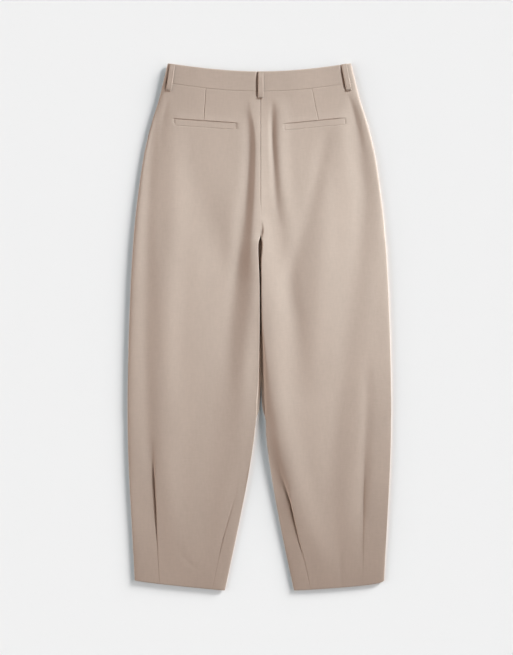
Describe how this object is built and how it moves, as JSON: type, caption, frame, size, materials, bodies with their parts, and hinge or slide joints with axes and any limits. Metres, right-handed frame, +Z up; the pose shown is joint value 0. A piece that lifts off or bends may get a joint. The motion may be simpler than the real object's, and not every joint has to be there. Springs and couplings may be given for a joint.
{
  "type": "barrel leg trousers laid flat",
  "caption": "Barrel leg trousers laid flat with the back side up, with belt loops, welt pockets and darted hems.",
  "frame": {"origin": "the middle of the trousers' bounding box, on the surface that they lie on", "axes": "+Y from the hems to the waist, +X to the side of the wearer's right leg, +Z up, out of the back panels"},
  "size_m": [0.5194, 1.0386, 0.0128],
  "materials": {
    "cloth": "soft matt fine twill"
  },
  "bodies": {
    "root": {"back_left": "cloth", "back_right": "cloth", "front_left": "cloth", "front_right": "cloth", "waistband_back": "cloth", "waistband_front_left": "cloth", "waistband_front_right": "cloth", "belt_loop_back_centre": "cloth", "belt_loop_back_left": "cloth", "belt_loop_back_right": "cloth", "belt_loop_front_left": "cloth", "belt_loop_front_right": "cloth", "pocket_welt_left": "cloth", "pocket_welt_right": "cloth"}
  },
  "joints": []
}
